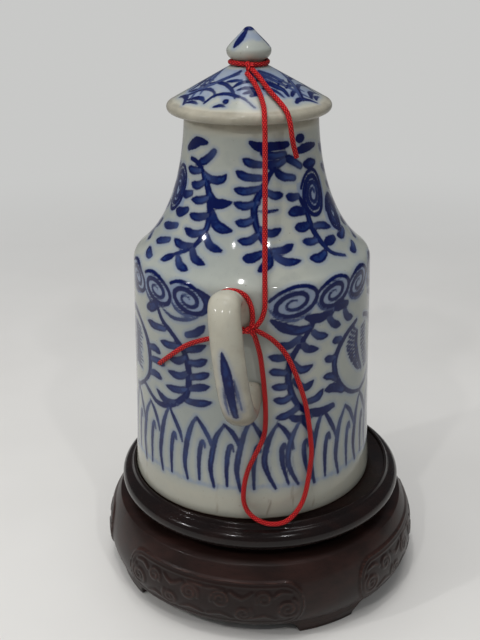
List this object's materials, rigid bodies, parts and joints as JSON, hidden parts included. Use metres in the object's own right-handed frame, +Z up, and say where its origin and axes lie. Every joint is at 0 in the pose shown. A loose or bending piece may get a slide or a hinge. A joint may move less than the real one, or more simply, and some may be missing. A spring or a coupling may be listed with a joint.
{
  "type": "teapot on a stand",
  "caption": "Tall blue and white porcelain teapot with a strap handle, a curved spout and a conical lid tied on with red cord, in a round carved hardwood stand.",
  "frame": {"origin": "on the floor under the centre of the round stand", "axes": "+Z up, the spout points along +Y and the handle along -Y"},
  "size_m": [0.1586, 0.1705, 0.2675],
  "materials": {
    "porcelain": "clear glossy glaze over underglaze cobalt brushwork",
    "hardwood": "dark red-brown hardwood, waxed and polished",
    "cord": "braided nylon cord, slightly glossy"
  },
  "bodies": {
    "stand": {"stand_top": "hardwood", "stand_waist": "hardwood", "stand_apron": "hardwood", "stand_foot_a": "hardwood", "stand_foot_b": "hardwood", "stand_foot_c": "hardwood", "stand_foot_d": "hardwood"},
    "pot": {"pot_foot": "porcelain", "pot_body": "porcelain", "handle": "porcelain", "spout": "porcelain", "hitch_ring": "cord", "handle_knot": "cord", "bow_loop": "cord", "end_tail": "cord", "tether": "cord"},
    "lid": {"lid_cap": "porcelain", "finial": "porcelain", "lid_collar": "cord", "lid_knot": "cord", "lid_tail": "cord"}
  },
  "joints": [
    {"name": "pot_lift", "type": "slide", "parent": "stand", "child": "pot", "axis": [0, 0, 1], "range_m": [0, 0.04]},
    {"name": "lid_lift", "type": "slide", "parent": "pot", "child": "lid", "axis": [0, 0, 1], "range_m": [0, 0.02], "deforming": ["tether"]}
  ]
}
